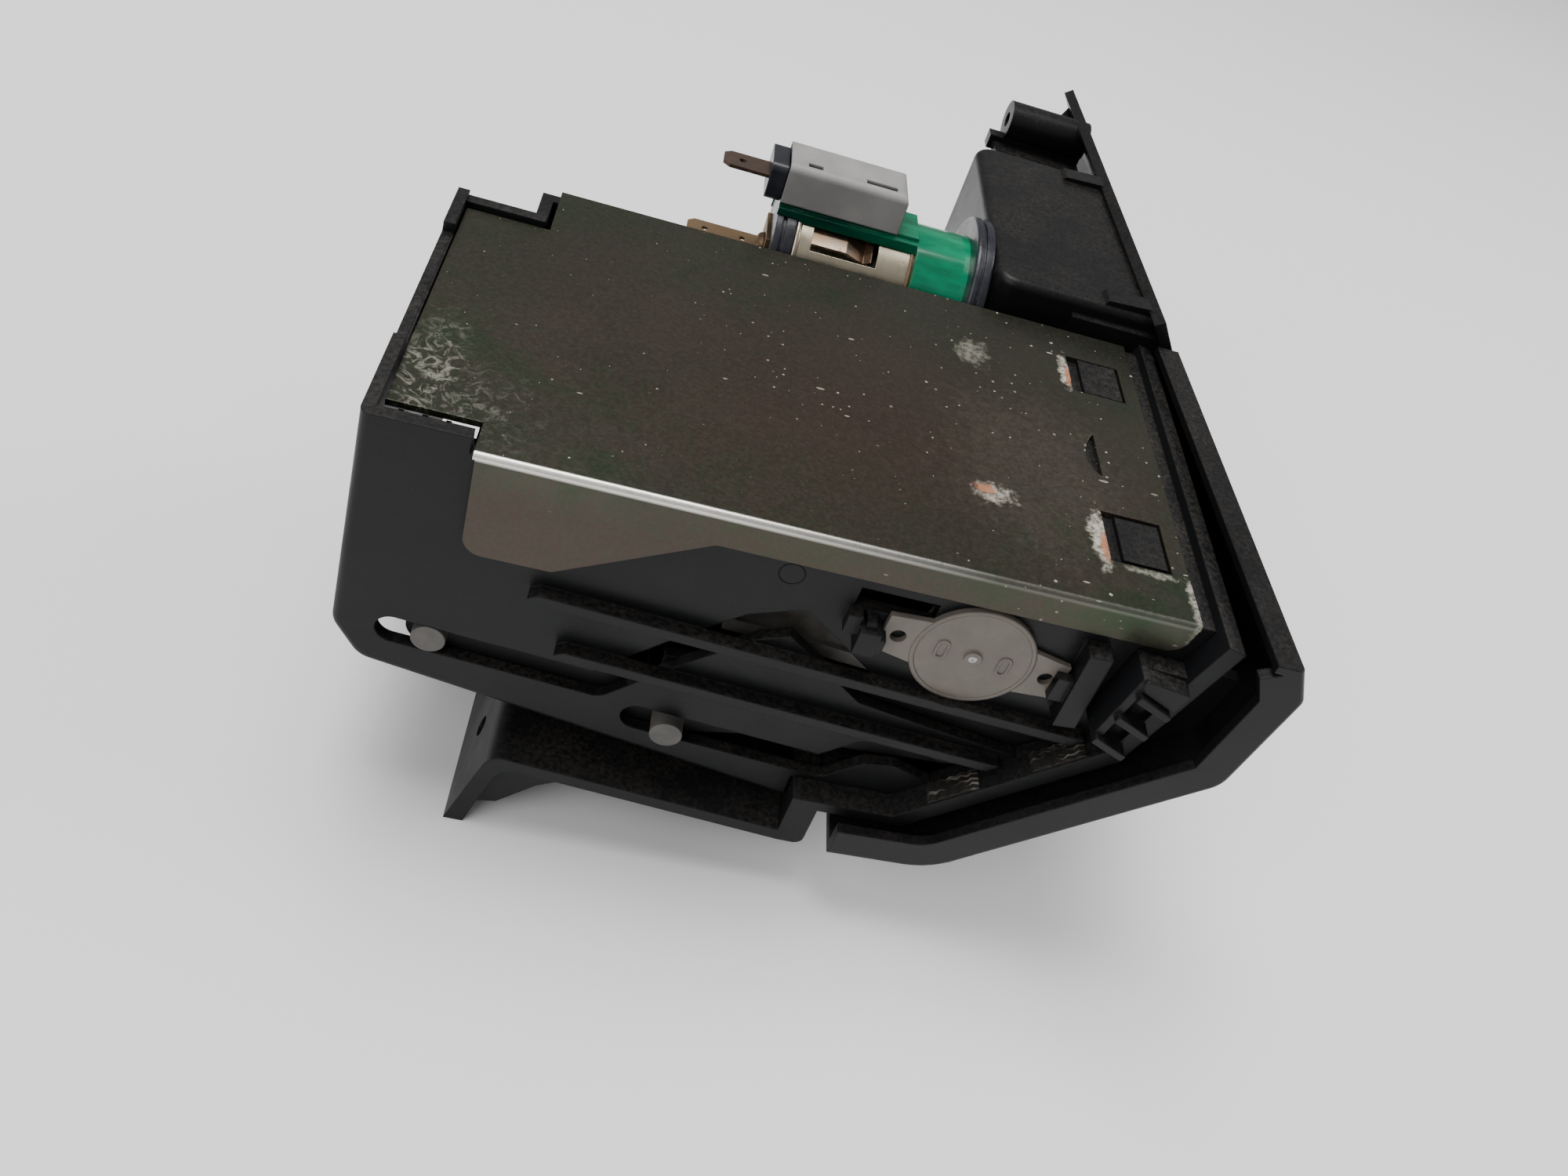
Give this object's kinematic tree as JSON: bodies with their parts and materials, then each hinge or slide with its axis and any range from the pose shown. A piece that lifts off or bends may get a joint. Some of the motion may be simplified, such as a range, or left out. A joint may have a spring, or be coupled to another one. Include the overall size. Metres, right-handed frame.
{
  "type": "car console ashtray drawer with lighter socket",
  "caption": "Car console insert: damped ashtray drawer on cam slots in a housing under a folded steel cover, with a fascia, coin pocket and lit 12 V lighter socket beside it.",
  "frame": {"origin": "middle of the base of the bounding box, at the tip of the rear lip", "axes": "+X towards the fascia (the side the driver sees), +Y from the damper side of the housing to the lighter side, +Z out of the steel cover; the unit is stored upside down, as pictured"},
  "size_m": [0.1642, 0.214, 0.1019],
  "materials": {
    "housing_plastic": "satin black moulded plastic",
    "passivated_steel": "olive-grey passivated sheet with faint iridescence",
    "front_plastic": "fine-grained black plastic",
    "carriage_plastic": "plain black plastic",
    "soft_rubber": "dull black rubber",
    "damper_plastic": "warm grey plastic",
    "white_nylon": "natural nylon",
    "grey_plastic": "grey plastic",
    "spring_steel": "bright spring steel",
    "bin_steel": "pressed steel",
    "nickel_shell": "nickel plate with a yellow cast",
    "insulator_plastic": "dark moulded insulator",
    "brass_contact": "dull brass",
    "bronze_clip": "bronze strip",
    "bronze_terminal": "dark tarnished bronze",
    "green_light_guide": "clear green plastic",
    "white_shade": "white lacquer",
    "lamp_glass": "clear",
    "knob_plastic": "polished black plastic"
  },
  "bodies": {
    "housing": {"housing": "housing_plastic", "steel_cover": "passivated_steel", "front_frame": "housing_plastic", "crush_pads": "soft_rubber", "damper_plate": "damper_plastic", "damper_case": "damper_plastic", "spring_post": "spring_steel", "opening_spring": "spring_steel", "latch_clip": "spring_steel", "fascia_panel": "front_plastic", "pocket_mat": "soft_rubber", "socket_shell": "nickel_shell", "socket_insulator": "insulator_plastic", "centre_contact": "brass_contact", "supply_terminal": "brass_contact", "bimetal_clips": "bronze_clip", "light_ring": "green_light_guide", "light_collar": "insulator_plastic", "lamp_shade": "white_shade", "lamp_holder": "insulator_plastic", "lamp_bulb": "lamp_glass", "lamp_terminal": "bronze_terminal"},
    "drawer": {"drawer_front": "front_plastic", "drawer_carriage": "carriage_plastic", "rear_guide_pins": "grey_plastic", "front_guide_pins": "grey_plastic", "damper_rack": "white_nylon", "ash_bin": "bin_steel", "snuffer_plate": "bin_steel", "bin_spring": "spring_steel", "latch_striker": "white_nylon"},
    "damper_gear": {"damper_pinion": "white_nylon"},
    "lighter_plug": {"lighter_sleeve": "nickel_shell"},
    "lighter_knob": {"lighter_knob": "knob_plastic", "shaft_collar": "spring_steel", "heater_cup": "bin_steel", "knob_spring": "spring_steel"}
  },
  "joints": [
    {"name": "drawer_slide", "type": "slide", "parent": "housing", "child": "drawer", "axis": [0.9968, 0, -0.0797], "range_m": [-0.0025, 0.03], "deforming": ["opening_spring"]},
    {"name": "damper_spin", "type": "hinge", "parent": "housing", "child": "damper_gear", "pos_m": [0.02817, -0.089, 0.0706], "axis": [0, -1, 0], "range_deg": [-30, 275]},
    {"name": "plug_pull", "type": "slide", "parent": "housing", "child": "lighter_plug", "axis": [1, 0, 0], "range_m": [0, 0.035]},
    {"name": "knob_press", "type": "slide", "parent": "lighter_plug", "child": "lighter_knob", "axis": [1, 0, 0], "range_m": [-0.004, 0], "stiffness_N_per_m": 150, "deforming": ["knob_spring"]}
  ],
  "couplings": [
    {"joint": "damper_spin", "follows": "drawer_slide", "rad_per_m": 156.25}
  ]
}
